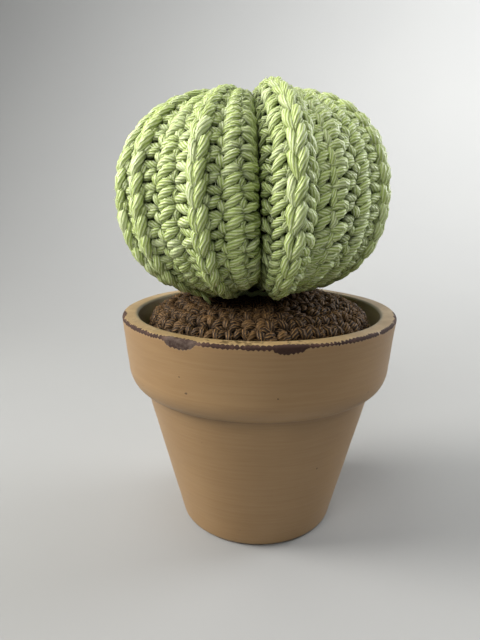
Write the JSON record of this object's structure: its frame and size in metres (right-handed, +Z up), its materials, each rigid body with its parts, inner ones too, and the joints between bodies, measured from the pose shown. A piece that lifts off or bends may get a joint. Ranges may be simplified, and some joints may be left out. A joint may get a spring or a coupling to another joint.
{
  "type": "crocheted cactus in a painted clay pot",
  "caption": "Round ribbed cactus of crocheted green yarn, stuffed, sewn to a brown crocheted soil cushion in a small collared clay pot.",
  "frame": {"origin": "centre of the pot's foot, on the surface it stands on", "axes": "+Z up along the pot's axis, -Y the front with the cactus's seam, +X to the right seen from the front"},
  "size_m": [0.0813, 0.0805, 0.1265],
  "materials": {
    "painted_clay": "satin tan paint with faint brush strokes, worn to purple-brown at the rim's edge",
    "green_yarn": "shiny mercerised cotton yarn, crocheted",
    "brown_yarn": "slightly fuzzy brown yarn with lighter gold plies, crocheted in rounds",
    "stuffing": "white polyester fibre filling"
  },
  "bodies": {
    "root": {"pot": "painted_clay", "soil_cover": "brown_yarn", "soil_stuffing": "stuffing", "cactus_cover": "green_yarn", "cactus_stuffing": "stuffing", "joining_thread": "green_yarn"}
  },
  "joints": []
}
